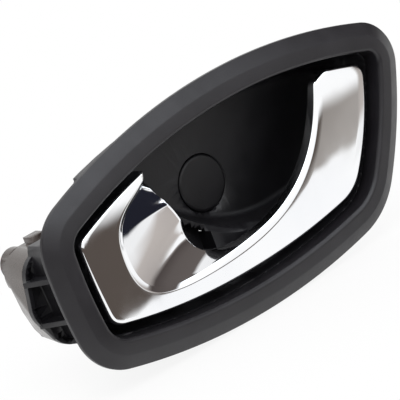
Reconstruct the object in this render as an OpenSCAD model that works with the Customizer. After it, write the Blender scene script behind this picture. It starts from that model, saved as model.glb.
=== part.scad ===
// Car interior door handle: bezel, finger bowl, chrome pull lever and the release mechanism.
// x runs from the hinge end to the free end, y runs into the door and z is up.
// The origin is on the fixing screw's axis at the rear face of the steel sleeve, where the handle is
// screwed to the door's inner panel. Depths are given from the plane of the door trim. Millimetres.

/* [Face outline] */
// Screw axis to the crown of the top edge
top_reach = 36.2; // [34:0.1:42]
// Direction of the top crown from the screw axis
top_dir = 92; // [88:0.5:96]
// Radius of the top edge
top_r = 188; // [160:1:260]
// Screw axis to the crown of the bottom edge
bottom_reach = 39; // [37:0.1:46]
// Direction of the bottom crown from the screw axis
bottom_dir = 272.5; // [269:0.5:275]
// Radius of the bottom edge
bottom_r = 213; // [170:1:280]
// Screw axis to the crown of the hinge end
hinge_reach = 76.4; // [74:0.1:84]
// Direction of the hinge end's crown
hinge_dir = 181.5; // [179:0.5:184]
// Radius of the hinge end's edge
hinge_r = 148; // [120:1:220]
// Screw axis to the crown of the slanted free end
free_reach = 56.4; // [55:0.1:62]
// Direction of the free end's crown
free_dir = 317; // [314:0.5:320]
// Radius of the free end's edge
free_r = 140; // [120:1:180]
// Corner radius between the free end and the top edge
free_top_corner = 13.5; // [12:0.5:18]
// Corner radius between the top edge and the hinge end
hinge_top_corner = 16; // [13:0.5:22]
// Corner radius between the hinge end and the bottom edge
hinge_bottom_corner = 17.5; // [13:0.5:24]
// Corner radius between the bottom edge and the free end
free_bottom_corner = 27.5; // [20:0.5:32]

/* [Bezel] */
// Width of the bezel band
band_w = 9.4; // [8.5:0.1:11]
// Height of the bezel's outer side wall
bezel_side_h = 1.4; // [1:0.1:2.5]
// Distance from the outer edge to the ridge between the two facets
ridge_in = 4.4; // [3.5:0.1:6]
// Height of the ridge above the trim
ridge_h = 3.7; // [3:0.1:4.2]
// Height of the bezel's inner edge above the trim
bezel_h = 4.6; // [4.2:0.1:6.5]
// Radius of the rolled inner edge
bezel_edge_r = 1; // [0.5:0.1:1.4]
// Wall thickness of the bezel
bezel_wall = 1.8; // [1.4:0.1:2.2]
// Width of the bezel's seat on the trim
seat_w = 2; // [1.4:0.1:2.6]
// Depth of the bezel's inner skirt behind the trim plane
skirt_y = 3; // [2:0.1:4]
// Width of a bezel snap hook
hook_w = 7; // [5:0.5:9]
// Thickness of a bezel snap hook
hook_t = 1.2; // [0.9:0.1:1.6]

/* [Housing] */
// Wall thickness of the housing
wall = 2; // [1.6:0.1:2.6]
// Thickness of the housing's front flange
flange_t = 2; // [1.5:0.1:3]
// Distance from the bezel's outer edge to the flange's edge
flange_in = 4.8; // [4.6:0.1:5.6]
// Depth of the ledge behind the lever's lower arm
ledge_y = 12; // [11.6:0.1:13.5]
// Depth of the bowl's floor
floor_y = 22; // [20:0.1:26]
// Depth of the floor of the hinge pocket
pocket_y = 19; // [18.6:0.1:21]
// Distance from the hinge end to the hinge pocket's inner wall
pocket_in = 66.4; // [64:0.1:68]
// Top of the hinge pocket beside the hinge
pocket_top = 8; // [7:0.1:9]
// Corner radius of the housing between the top edge and the hinge end
housing_corner = 21; // [18:0.5:22]
// Radius of the bowl's lower edge at its floor
bowl_r = 52; // [44:1:60]
// Distance from the bezel's bottom edge to the bowl's floor edge
bowl_up = 22.6; // [22:0.1:24]
// Place of that lowest point along the handle
bowl_x = 20; // [14:1:26]
// Distance from the bezel's outer edge to the bowl's edge at its floor
bowl_in = 13.5; // [12.5:0.1:16]
// Widening of the bowl from its floor to the ledge
bowl_draft = 3.2; // [2:0.1:4]
// Thickness of the gusset ribs
rib_t = 1.6; // [1.2:0.1:2.4]
// Spacing of the gusset ribs at the hinge end
rib_pitch = 13.5; // [10:0.5:15]
// Number of stiffening ribs behind the bowl
bowl_ribs = 6; // [4:1:8]

/* [Screw cover and fixing] */
// Radius of the round screw cover
cap_r = 9; // [8:0.1:10]
// Thickness of the screw cover
cap_t = 1.6; // [1.2:0.1:2.2]
// Gap round the screw cover
cap_gap = 0.5; // [0.2:0.05:0.7]
// Radius of the fixing bore in the steel sleeve
fixing_r = 2.75; // [2.2:0.05:3.3]
// Length of the steel sleeve
sleeve_len = 8.5; // [7:0.5:12]
// Wall of the steel sleeve
sleeve_wall = 1.25; // [0.8:0.05:1.6]
// Depth of the space for the screw's head
head_space = 3.6; // [3:0.1:5]
// Radius of the locating peg
peg_r = 2.5; // [2:0.1:3]
// Length of the locating peg
peg_len = 7; // [5:0.5:9]

/* [Lever] */
// Distance from the bezel's outer edge to the lever's edge
lever_in = 13; // [12.8:0.1:14.5]
// Depth of the lever's outer side wall
lever_side = 5.5; // [4.5:0.1:6.5]
// Radius of the lever's outer edge
lever_edge_r = 1.4; // [1:0.1:2.5]
// Wall thickness of the lever's shell
lever_wall = 1.8; // [1.4:0.1:2.2]
// Thickness of the lever's front plate
lever_plate = 1.6; // [1.4:0.1:2.4]
// Crown of the lever's front face from its lower edge to its upper edge
lever_crown = 1.6; // [0:0.1:2.4]
// Width of the sloping lip between the front face and the finger opening
lip_w = 2.2; // [1.6:0.1:2.6]
// Drop of that lip
lip_drop = 0.8; // [0.5:0.1:1.2]
// Depth of the lever's rim along the free arm
lip_depth = 2.2; // [1.8:0.1:3]
// Width of the rim outside the lip along the free arm
rim_w = 1; // [0.6:0.1:1.4]
// Depth of the lever's scoop at the hinge end
scoop_depth = 13; // [10:0.1:13.4]
// Distance from the hinge end to the free side of the scoop's rim
scoop_in = 58.4; // [56:0.1:60]
// Width of the horn at its tip
horn_w = 2; // [1.6:0.1:2.6]
// Distance from the lever's top edge to the free arm's inner corner
tip_w = 2.4; // [2:0.1:4]
// Distance from the hinge end to the finger opening
opening_in = 25.6; // [24:0.1:26]
// Distance from the bezel's bottom edge to the finger opening
opening_up = 19.5; // [19:0.1:20.5]
// Distance from the hinge end to the opening's lowest point
opening_low_in = 54.4; // [52:0.1:56]
// Distance from the hinge end to the horn's tip
horn_in = 42.4; // [40:0.1:44]
// Place of the lever's upper tip at the free end
tip_x = 39.2; // [37:0.1:42]
// Clearance round the lever's inner backing piece
backing_gap = 0.25; // [0.15:0.05:0.4]

/* [Hinge] */
// Distance from the hinge end to the hinge axis
pivot_in = 20; // [19.4:0.1:20.4]
// Depth of the hinge axis
pivot_y = 6.2; // [6:0.1:7.5]
// Radius of the hinge pin
pin_r = 1.6; // [1.4:0.1:1.8]
// Distance from the lever's bottom edge to the hinge's lower ear
ear_low_in = 5.9; // [5.6:0.1:6.5]
// Distance from the lever's top edge to the hinge's upper ear
ear_high_in = 6.6; // [6:0.1:7.5]
// Thickness of a hinge ear
ear_t = 2.4; // [2:0.1:2.6]
// Outer radius of a hinge knuckle
knuckle_r = 3.2; // [3:0.1:3.4]
// Wall of a hinge bush
bush_wall = 0.7; // [0.6:0.05:0.8]
// Running clearance of the hinge pin
pin_gap = 0.04; // [0.02:0.01:0.1]
// Length of the release arm from the hinge axis
arm_len = 27.8; // [26:0.1:29]
// Width of the release arm
arm_w = 5; // [4.4:0.1:6]
// Furthest turn of the lever
lever_travel = 28; // [20:1:30]
// Radius of the spring wire
wire_r = 0.5; // [0.35:0.05:0.6]
// Turns of the return spring
spring_turns = 4; // [3:1:4]

/* [Rear case] */
// Distance from the bezel's hinge end to the rear case
case_in = 1.5; // [1:0.1:3]
// Free end of the rear case
case_right = -22; // [-28:0.5:-18]
// Top of the rear case
case_top = 7.8; // [7:0.1:9]
// Distance from the bezel's bottom edge to the rear case
case_up = 13; // [11:0.1:14]
// Corner radius of the rear case
case_corner = 8; // [6:0.5:10]
// Lean of the rear case's hinge end towards its back
case_lean = 4.3; // [1:0.1:5]
// Height above its bottom where the rear case's hinge end bulges most
case_bulge = 17; // [14:0.5:20]
// Height of the screw tower on the rear case
tower_h = 2; // [1:0.1:3]
// Drop of the rear case's end wall under the cable
end_drop = 4.4; // [4:0.1:5]
// Depth of the back of the rear case
case_back = 35.5; // [35:0.1:38]
// Wall thickness of the rear case
case_wall = 2; // [1.5:0.1:2.5]
// Radius of the cable conduit's seat
conduit_r = 2.5; // [2:0.1:3]
// Radius of the cable nipple's seat
nipple_r = 2.3; // [1.8:0.1:2.5]
// Radius of a case screw's shank
screw_r = 1.45; // [1.2:0.05:1.7]
// Radius of a case screw's head
screw_head_r = 3; // [2.6:0.1:3.4]
// Length of a case screw's shank
screw_len = 9; // [8:0.5:9.5]

/* [Buffers and clips] */
// Radius of a rubber buffer
buffer_r = 1.8; // [1.5:0.1:2]
// Place of the buffer near the middle
buffer_near = -2; // [-6:1:2]
// Place of the buffer towards the free end
buffer_far = 14; // [10:1:16]
// Distance of the buffers from the bezel's outer edge
buffer_in = 14.2; // [13.8:0.1:14.6]
// Thickness of the spring steel clips
clip_t = 0.6; // [0.4:0.05:0.8]
// Width of the spring steel clips
clip_w = 8; // [6:0.5:10]
// Distance from the bezel's outer edge to the clip's blade
blade_in = 5; // [4.8:0.1:6.5]
// Length of the clip's blade on the housing
blade_len = 11; // [9:0.5:13]
// Thickness of the clip's blade
blade_t = 1.2; // [1:0.1:1.6]

/* [Hidden] */
$fn = 48;
snug = 0.02;
seat_gap = 0.2;
over = 0.5;

// Vectors and curves in the face plane
function unit(a) = [cos(a), sin(a)];
function heading(v) = atan2(v[1], v[0]);
function turn(a, b) = a + (b - a + 720) % 360;
function bezier(p, t) = pow(1 - t, 3) * p[0] + 3 * t * pow(1 - t, 2) * p[1] + 3 * t * t * (1 - t) * p[2]
    + t * t * t * p[3];
function ray_to_circle(o, a, c, r) = let (m = o - c, b = m * unit(a)) sqrt(b * b - m * m + r * r) - b;
function ease(t) = (1 - cos(180 * max(0, min(1, t)))) / 2;

// Places tied to the bezel's ends
hinge_x = -hinge_reach;
bottom_z = -bottom_reach;
pocket_x = hinge_x + pocket_in;
scoop_side = hinge_x + scoop_in;
opening_left = hinge_x + opening_in;
opening_bottom = bottom_z + opening_up;
opening_bottom_x = hinge_x + opening_low_in;
horn_x = hinge_x + horn_in;
pivot_x = hinge_x + pivot_in;
case_left = hinge_x + case_in;
case_bottom = bottom_z + case_up;
case_bulge_z = case_bottom + case_bulge;
bowl_low = bottom_reach - bowl_up;

// The four side arcs in turn: free end, top, hinge end, bottom
side_r = [free_r, top_r, hinge_r, bottom_r];
side_dir = [free_dir - 360, top_dir, hinge_dir, bottom_dir];
side_reach = [free_reach, top_reach, hinge_reach, bottom_reach];
face_corners = [free_top_corner, hinge_top_corner, hinge_bottom_corner, free_bottom_corner];
side_steps = [12, 18, 8, 18];
corner_steps = 7;
function side_centre(k) = (side_reach[k % 4] - side_r[k % 4]) * unit(side_dir[k % 4]);
function meet(p, a, q, b) = let (d = norm(q - p), u = (q - p) / d, s = (a * a - b * b + d * d) / (2 * d))
    p + s * u + sqrt(a * a - s * s) * [-u[1], u[0]];
function corner_centre(k, inset, corners) = let (r = corners[k % 4] + inset)
    meet(side_centre(k), side_r[k % 4] - r, side_centre(k + 1), side_r[(k + 1) % 4] - r);
function side_end(k, side, inset, corners) = heading(corner_centre(k + 4, inset, corners) - side_centre(side));

// Rays of an outline set in from the bezel's edge: arc centre, arc radius and direction of each point
function side_rays(k, inset, corners) = let (
    a = side_end(k - 1, k, inset, corners),
    b = turn(a, side_end(k, k, inset, corners)),
    n = side_steps[k]
) [for (i = [0:n - 1]) [side_centre(k), side_r[k] - inset, a + (b - a) * i / n]];
function corner_rays(k, inset, corners) = let (
    a = side_end(k, k, inset, corners),
    b = turn(a, side_end(k, k + 1, inset, corners)),
    c = corner_centre(k, inset, corners)
) [for (i = [0:corner_steps - 1]) [c, corners[k], a + (b - a) * i / corner_steps]];
function outline_rays(inset, corners) = [for (k = [0:3]) each concat(
    side_rays(k, inset, corners), corner_rays(k, inset, corners))];
function on_ray(ray, d) = ray[0] + (ray[1] - d) * unit(ray[2]);
face_rays = outline_rays(0, face_corners);
function outline(d) = [for (r = face_rays) on_ray(r, d)];

// Height of the top or bottom arc at a place along the handle
function arc_z(k, d, x) = let (c = side_centre(k), r = side_r[k] - d, s = k == 1 ? 1 : -1)
    c[1] + s * sqrt(r * r - (x - c[0]) * (x - c[0]));

// Place on a side arc, a distance in from the edge and an angle along from the crown
function on_side(k, d, along = 0) = side_centre(k) + (side_r[k] - d) * unit(side_dir[k] + along);

// The trim plane stands in front of the sleeve's rear face
module from_trim() {
    translate([0, -sleeve_y - sleeve_len, 0])
        children();
}

// Plates and shells
module slab(y0, y1) {
    rotate([90, 0, 0])
        translate([0, 0, -y1])
            linear_extrude(y1 - y0)
                children();
}
module post(x, z, y0, y1, r) {
    translate([x, y0, z])
        rotate([-90, 0, 0])
            cylinder(r = r, h = y1 - y0);
}
module skin(rings, closed) {
    n = len(rings);
    m = len(rings[0]);
    last = closed ? n - 1 : n - 2;
    quads = [for (i = [0:last], j = [0:m - 1]) let (
        a = i * m + j,
        b = i * m + (j + 1) % m,
        c = ((i + 1) % n) * m + (j + 1) % m,
        d = ((i + 1) % n) * m + j
    ) each [[a, b, c], [a, c, d]]];
    ends = closed ? [] : [[for (j = [m - 1:-1:0]) j], [for (j = [0:m - 1]) (n - 1) * m + j]];
    polyhedron(points = [for (ring = rings) each ring], faces = concat(quads, ends), convexity = 8);
}

// Bezel section as pairs of distance in from the edge and depth
bezel_section = [
    [0, 0], [0, 0.4 - bezel_side_h], [0.4, -bezel_side_h], [ridge_in, -ridge_h],
    [band_w - bezel_edge_r * 1.3, -bezel_h], [band_w - bezel_edge_r * 0.4, -bezel_h + bezel_edge_r * 0.2],
    [band_w, -bezel_h + bezel_edge_r], [band_w, skirt_y], [band_w - bezel_wall, skirt_y],
    [band_w - bezel_wall, bezel_wall - bezel_h], [ridge_in, bezel_wall - ridge_h],
    [seat_w, bezel_wall - bezel_side_h - (ridge_h - bezel_side_h) * seat_w / ridge_in], [seat_w, 0]
];
// Snap hooks of the bezel: side and angle along it
hook_places = [[1, 12], [1, -3], [1, -14], [3, -11], [3, -4.5], [3, 8], [2, 1.8], [0, 19]];
clip_places = [[0, 13], [3, 0]];

module bezel_hook() {
    hook_d = flange_in - seat_gap;
    flange_back = skirt_y + flange_t;
    rotate([90, 0, 90])
        translate([0, 0, -hook_w / 2])
            linear_extrude(hook_w)
                polygon([
                    [-bezel_side_h, hook_t - hook_d], [flange_back + 2.4, hook_t - hook_d],
                    [flange_back + 2.4, -hook_d], [flange_back + seat_gap, -hook_d - 0.9],
                    [flange_back + seat_gap, -hook_d], [-bezel_side_h, -hook_d]
                ]);
}
module on_edge(k, along) {
    p = on_side(k, 0, along);
    translate([p[0], 0, p[1]])
        rotate([0, 90 - side_dir[k] - along, 0])
            children();
}
module bezel() {
    color("#2f3134") from_trim() {
        skin([for (r = face_rays) [for (s = bezel_section) let (p = on_ray(r, s[0])) [p[0], s[1], p[1]]]], true);
        for (h = hook_places)
            on_edge(h[0], h[1]) bezel_hook();
    }
}

// The bowl: its edge follows the top and free-end arcs above and one big arc below
bowl_eye = [bowl_x - 2, 6];
bowl_centre = [bowl_x, bowl_r - bowl_low];
bowl_steps = 72;
bowl_round = 14;
function bowl_reach(a, grow, out) = pow(
    pow(ray_to_circle(bowl_eye, a, bowl_centre, bowl_r + grow + out), -bowl_round)
    + pow(ray_to_circle(bowl_eye, a, side_centre(1), top_r - bowl_in + min(grow, 1.5) + out), -bowl_round)
    + pow(ray_to_circle(bowl_eye, a, side_centre(0), free_r - bowl_in + min(grow, 1.5) + out), -bowl_round),
    -1 / bowl_round);
function bowl_outline(grow, out = 0) = [for (i = [0:bowl_steps - 1]) let (a = 360 * i / bowl_steps)
    bowl_eye + bowl_reach(a, grow, out) * unit(a)];
function bowl_ring(grow, out, y) = [for (p = bowl_outline(grow, out)) [p[0], y, p[1]]];
bowl_rings = [
    bowl_ring(-2, 0, floor_y), bowl_ring(-0.5, 0, floor_y - 0.5), bowl_ring(0.2, 0, floor_y - 1.8),
    bowl_ring(bowl_draft * 0.45, 0, (ledge_y + floor_y) / 2), bowl_ring(bowl_draft, 0, ledge_y),
    bowl_ring(bowl_draft, wall, ledge_y), bowl_ring(0.2, wall * 0.8, floor_y + wall * 0.4),
    bowl_ring(-0.8, 0, floor_y + wall)
];
inner_in = band_w + 0.4;
outer_in = inner_in - wall;
scoop_room = scoop_depth + lever_wall + 0.8;
ear_low = arc_z(3, lever_in, pivot_x) + ear_low_in;
ear_high = arc_z(1, lever_in, pivot_x - knuckle_r) - ear_high_in;
bush_r = pin_r + bush_wall;
ear_stem = 5.4;
cap_seat_y = floor_y - 0.3 + cap_t;
sleeve_y = floor_y + head_space;
sleeve_r = fixing_r + sleeve_wall;
bush_flange = 0.8;
knuckle_gap = 0.1;
low_knuckle = ear_low + bush_flange + knuckle_gap;
coil_pitch = 2 * wire_r + 0.1;
spring_room = spring_turns * coil_pitch + 2 * wire_r + 2 * seat_gap;
knuckle_h = (ear_high - bush_flange - knuckle_gap - low_knuckle - spring_room) / 2;
high_knuckle = low_knuckle + knuckle_h + spring_room;
knuckle_mid = low_knuckle + knuckle_h / 2;

// Rear case outline and its screw places
screw_places = [
    [case_left + 10.6, case_top - 5.3], [case_left + 14.9, case_bottom + 6], [case_right - 5.5, case_bottom + 6.5]
];
boss_wall = 1.5;
boss_r = screw_r + boss_wall;
recess = 1.1;
rim_t = 1.5;
case_front = pocket_y + wall;
case_edge = 1.5;
case_top_in = 1.8;
case_low_in = 3.2;
case_cut = [10, 2.6];
module case_outline(shrink = 0, lean = 0) {
    left = case_left + case_corner;
    low = case_bottom + case_corner;
    right = case_right - case_corner;
    high = case_top - case_corner;
    offset(r = case_corner - shrink)
        polygon([
            [left + case_top_in + lean * 0.4, high], [left + lean, case_bulge_z],
            [left + case_low_in + lean * 0.6, low + case_cut[1]], [left + case_cut[0], low], [right, low],
            [right, high]
        ]);
}
// Block that leans in towards the back and has a rounded back edge
module case_block(inset, back) {
    hull() {
        slab(case_front, case_front + snug) case_outline(inset);
        slab(back - case_edge, back - case_edge + snug) case_outline(inset, case_lean);
        slab(back - snug, back) case_outline(inset + case_edge * 0.8, case_lean);
    }
}
housing_rays = outline_rays(0, [free_top_corner, housing_corner, hinge_bottom_corner, free_bottom_corner]);
function housing_outline(d) = [for (r = housing_rays) on_ray(r, d)];
pocket_step = [opening_left - 1.2, opening_left + 8.8];
pocket_step_top = pocket_top + 12;
module pocket_area(d) {
    intersection() {
        polygon(housing_outline(d));
        offset(delta = inner_in - d)
            polygon([
                [hinge_x, bottom_z], [pocket_x, bottom_z], [pocket_x, top_reach], [pocket_step[1], top_reach],
                [pocket_step[1], pocket_step_top], [pocket_step[0], pocket_top], [hinge_x, pocket_top]
            ]);
    }
}
module hinge_ear(z0) {
    translate([pivot_x, pivot_y, z0])
        cylinder(r = knuckle_r + 0.2, h = ear_t);
    translate([pivot_x - ear_stem / 2, pivot_y, z0])
        cube([ear_stem, pocket_y - pivot_y + over, ear_t]);
}
rib_high = case_bottom + 26;
module gusset(z) {
    edge_x = on_side(2, flange_in)[0];
    translate([0, 0, z - rib_t / 2])
        linear_extrude(rib_t)
            polygon([
                [on_side(2, inner_in)[0] - wall / 2, skirt_y + flange_t / 2], [edge_x + 0.4, skirt_y + flange_t / 2],
                [edge_x + 1.6, (skirt_y + pocket_y) / 2], [case_left + 1, pocket_y + wall / 2],
                [on_side(2, inner_in)[0] - wall / 2, pocket_y + wall / 2]
            ]);
}
module clip_blade() {
    translate([-clip_w / 2 - 1, skirt_y + flange_t / 2, -blade_in - blade_t])
        cube([clip_w + 2, blade_len + flange_t / 2, blade_t]);
}
module bowl_back_rib(a) {
    rotate([0, -a, 0])
        translate([cap_r, floor_y + wall / 2, -rib_t / 2])
            cube([22 - cap_r, wall * 1.6, rib_t]);
}
// The bowl's rim drops back towards the hinge end, so that the lever's scoop passes in front of it
module scoop_room_cut() {
    translate([0, 0, bottom_z])
        linear_extrude(top_reach - bottom_z)
            polygon([
                [case_left, ledge_y - over], [pocket_x + 12, ledge_y - over], [pocket_x + 12, ledge_y],
                [pocket_x - 6, scoop_room], [case_left, scoop_room]
            ]);
}
module housing_walls() {
    slab(skirt_y, skirt_y + flange_t) difference() {
        polygon(outline(flange_in));
        polygon(housing_outline(inner_in));
    }
    slab(skirt_y + flange_t / 2, ledge_y + wall) difference() {
        polygon(housing_outline(outer_in));
        polygon(housing_outline(inner_in));
    }
    slab(ledge_y, ledge_y + wall) difference() {
        polygon(housing_outline(outer_in));
        polygon(bowl_outline(bowl_draft, wall / 2));
        pocket_area(inner_in);
    }
    slab(ledge_y, pocket_y + wall) difference() {
        pocket_area(outer_in);
        pocket_area(inner_in);
        polygon(bowl_outline(bowl_draft, wall / 2));
    }
    slab(pocket_y, pocket_y + wall) difference() {
        union() {
            case_outline();
            pocket_area(inner_in - over);
        }
        polygon(bowl_outline(bowl_draft * 0.3, wall / 2));
    }
}
// The floor round the pocket is sunk inside a rim that the rear case stands behind
module floor_recess() {
    slab(pocket_y - over, pocket_y + recess) difference() {
        case_outline(rim_t);
        pocket_area(outer_in - snug);
    }
}
module housing_bowl() {
    difference() {
        skin(bowl_rings, false);
        scoop_room_cut();
    }
    post(0, 0, floor_y + wall / 2, sleeve_y + wall, cap_r + cap_gap + wall);
    post(0, 0, sleeve_y, sleeve_y + sleeve_len - 0.5, sleeve_r + wall);
    for (i = [0:bowl_ribs - 1])
        bowl_back_rib(90 + 360 * i / bowl_ribs);
}
module housing() {
    peg = on_side(0, 24, 20);
    buffers = [for (x = [buffer_near, buffer_far]) [x, arc_z(3, buffer_in, x)]];
    color("#1b1c1e") from_trim() difference() {
        union() {
            difference() {
                housing_walls();
                floor_recess();
            }
            housing_bowl();
            hinge_ear(ear_low - ear_t);
            hinge_ear(ear_high);
            for (z = [rib_high, rib_high - rib_pitch])
                gusset(z);
            for (s = screw_places)
                post(s[0], s[1], scoop_room, case_front, boss_r);
            for (c = clip_places)
                on_edge(c[0], c[1]) clip_blade();
            post(peg[0], peg[1], floor_y + wall / 2, floor_y + wall + peg_len, peg_r);
        }
        post(0, 0, floor_y - over, cap_seat_y, cap_r + cap_gap);
        post(0, 0, cap_seat_y - over, sleeve_y, cap_r - 0.8);
        post(0, 0, sleeve_y - over, sleeve_y + sleeve_len, sleeve_r + snug);
        for (s = screw_places)
            post(s[0], s[1], scoop_room - over, case_front + over, screw_r + snug);
        for (b = buffers)
            post(b[0], b[1], ledge_y - over, ledge_y + wall + over, buffer_r * 0.55 + snug);
        for (z = [ear_low - ear_t - over, ear_high - over])
            translate([pivot_x, pivot_y, z])
                cylinder(r = bush_r + snug, h = ear_t + 2 * over);
        arm_slot();
    }
}
module arm_slot() {
    reach = sin(lever_travel) * (pocket_y + wall - pivot_y) + arm_w / 2 + 2;
    translate([pivot_x - arm_w / 2 - 1, pocket_y - over, knuckle_mid - knuckle_h / 2 - 1])
        cube([arm_w / 2 + 1 + reach, wall + 2 * over, knuckle_h + 2]);
}

// Screw cover and the steel sleeve behind it
module screw_cap() {
    color("#202124") from_trim() {
        translate([0, cap_seat_y, 0])
            rotate([90, 0, 0])
                rotate_extrude()
                    polygon([[0, 0], [cap_r, 0], [cap_r, cap_t - 0.5], [cap_r - 0.35, cap_t - 0.1],
                        [cap_r - 0.8, cap_t], [0, cap_t]]);
        for (a = [0:90:270])
            rotate([0, a, 0])
                translate([cap_r - 2.2, cap_seat_y - cap_t / 2, -1.5])
                    cube([1.2, head_space - cap_t + cap_t / 2, 3]);
    }
}
module fixing_sleeve() {
    color("#b9bcc0") from_trim() difference() {
        post(0, 0, sleeve_y, sleeve_y + sleeve_len, sleeve_r);
        post(0, 0, sleeve_y - over, sleeve_y + sleeve_len + over, fixing_r);
    }
}

// Chrome lever: every section lies on a ray from one point inside the finger opening.
// A ray's turn is measured from straight up, over the hinge end and the bottom to the free end.
lever_eye = [-8, 2];
lever_corners = [3.5, 4, 5, 14.5];
lever_rays = outline_rays(lever_in, lever_corners);
function ray_turn(p) = (heading(p - lever_eye) + 630) % 360;
function reach_table(pts) = [for (p = pts) [ray_turn(p), norm(p - lever_eye)]];
function rotated(t) = let (cut = [for (i = [1:len(t) - 1]) if (t[i][0] < t[i - 1][0]) i][0])
    [for (i = [0:len(t) - 1]) t[(i + cut) % len(t)]];
outer_table = rotated(reach_table([for (r = lever_rays) on_ray(r, 0)]));
horn = [horn_x, arc_z(1, lever_in, horn_x) - horn_w];
tip = [tip_x, arc_z(1, lever_in, tip_x) - tip_w];
opening_left_z = opening_bottom + 17.3;
opening_curves = [
    [horn, horn + [-7.5, -5], [opening_left, opening_left_z + 13.1], [opening_left, opening_left_z]],
    [[opening_left, opening_left_z], [opening_left, opening_left_z - 13.2],
        [opening_bottom_x - 21.3, opening_bottom], [opening_bottom_x, opening_bottom]],
    [[opening_bottom_x, opening_bottom], [opening_bottom_x + 32.9, opening_bottom], tip - [12.4, 27.8], tip]
];
scoop_nose = [scoop_side, opening_bottom + 15.9];
scoop_curves = [
    [horn + [1.1, -0.5], horn + [9.1, -13.6], scoop_nose + [-3.1, 10.8], scoop_nose],
    [scoop_nose, scoop_nose + [0.6, -2], scoop_nose + [-7.3, -13.1], [opening_bottom_x + 12.5, opening_bottom + 4.1]]
];
opening_table = reach_table([for (k = [0:2]) for (i = [k == 0 ? 0 : 1:24]) bezier(opening_curves[k], i / 24)]);
scoop_table = reach_table([for (k = [0:1]) for (i = [k:24]) bezier(scoop_curves[k], i / 24)]);
turn_start = ray_turn(horn);
turn_end = ray_turn(tip);
scoop_end = ray_turn(scoop_curves[1][3]);
function outer_reach(a) = lookup(a, outer_table);
function opening_reach(a) = lookup(a, opening_table);
// Share of the full scoop at a turn, from 0 along the free arm to 1
function scoop_share(a) = ease((a - turn_start) / 25) * ease((scoop_end - a) / 60);
function lip_width(a) = lip_w * (0.45 + 0.55 * ease((a - turn_start) / 50) - 0.4 * ease((a - 235) / 50));
function rim_reach(a) = let (arm = opening_reach(a) - lip_width(a) - rim_w * (1 + 0.4 * ease((215 - a) / 40)))
    a > scoop_end ? arm : min(arm, lookup(a, scoop_table));
function rim_depth(a) = lip_depth + (scoop_depth - lip_depth) * scoop_share(a);

// Both ends of the lever are rounded a little
tip_turn = 1.2;
function tip_scale(a) = let (t = min(1, min(a - turn_start, turn_end - a) / tip_turn)) 0.82 + 0.18 * sqrt(t * (2 - t));
lever_turns = concat(
    [for (t = [0, 0.12, 0.4, 0.75]) turn_start + t * tip_turn],
    [for (t = outer_table) if (t[0] > turn_start + tip_turn && t[0] < turn_end - tip_turn) t[0]],
    [for (t = [0.75, 0.4, 0.12, 0]) turn_end - t * tip_turn]
);
// The wall from the lip down to the rim: a point of its face, or of its back at a thickness
function scoop_wall(a, u, from, run, thick) = let (
    p = 1 + 0.9 * scoop_share(a),
    drop = max(rim_depth(a), lip_drop + 0.8) - lip_drop,
    slope = [run, drop * p * pow(1 - u, p - 1)]
) [from + run * u, lip_drop + drop * (1 - pow(1 - u, p))] + thick * [-slope[1], slope[0]] / norm(slope);
// One section as distance in from the outer edge, depth, and share of the front's crown
function lever_section(a) = let (
    s = tip_scale(a),
    w = (outer_reach(a) - opening_reach(a)) * s,
    r = min(lever_edge_r, w * 0.4),
    t = min(lever_wall, w * 0.3),
    e = lever_side * s,
    f = (1 - s) * 3,
    lip = w + lip_width(a) * s,
    run = opening_reach(a) - lip_width(a) - rim_reach(a),
    back = rim_w + (lever_wall - rim_w) * scoop_share(a),
    face = [for (u = [0:0.2:1]) concat(scoop_wall(a, u, lip, run, 0), 1 - u)],
    rear = [for (u = [1:-0.2:0]) concat(scoop_wall(a, u, lip, run, back), 1 - u)]
) concat(
    [[0, e, 0], [0, r + f, 1], [r * 0.29, r * 0.29 + f, 1], [r, f, 1], [w * 0.5, f, 1], [w - 0.2, f, 1],
        [w + 0.15, f + 0.15, 1]],
    face, rear,
    [[w - t, lever_plate, 0], [t, lever_plate, 0], [t, e, 0]]
);
function crown_at(z) = lever_crown * max(0, 1 - pow((z + 2) / 24, 2));
// The horn's outer edge runs on beside its tip, so that its end is square
horn_run = 3.4;
function horn_shift(a, share) = let (
    x = (lever_eye + outer_reach(a) * unit(a + 90))[0],
    r = horn_run * ease(1 - (a - turn_start) / 14) * max(0, share)
) [r, arc_z(1, lever_in, x + r) - arc_z(1, lever_in, x)];
function lever_ring(a) = let (
    full = outer_reach(a) - opening_reach(a),
    start = outer_reach(a) - full * (1 - tip_scale(a)) / 2
) [for (p = lever_section(a)) let (
    q = lever_eye + (start - p[0]) * unit(a + 90) + horn_shift(a, 1 - p[0] / full)
) [q[0], p[1] - p[2] * crown_at(q[1]), q[1]]];
module lever() {
    color("#e4e6e8") from_trim() skin([for (a = lever_turns) lever_ring(a)], false);
}

// Backing piece inside the lever's free arm
backing_from = 150;
backing_to = turn_end - 12;
function backing_ring(a) = let (
    g = lever_wall + backing_gap,
    w = outer_reach(a) - opening_reach(a) - g,
    front = lever_plate,
    back = lever_side - 0.3
) [for (p = [[g, front], [w, front], [w, back - 0.5], [w - 0.5, back], [g + 0.5, back], [g, back - 0.5]])
    let (q = lever_eye + (outer_reach(a) - p[0]) * unit(a + 90)) [q[0], p[1], q[1]]];
module lever_backing() {
    color("#3a3b3d") from_trim() skin([for (a = lever_turns) if (a > backing_from && a < backing_to) backing_ring(a)], false);
}

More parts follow.
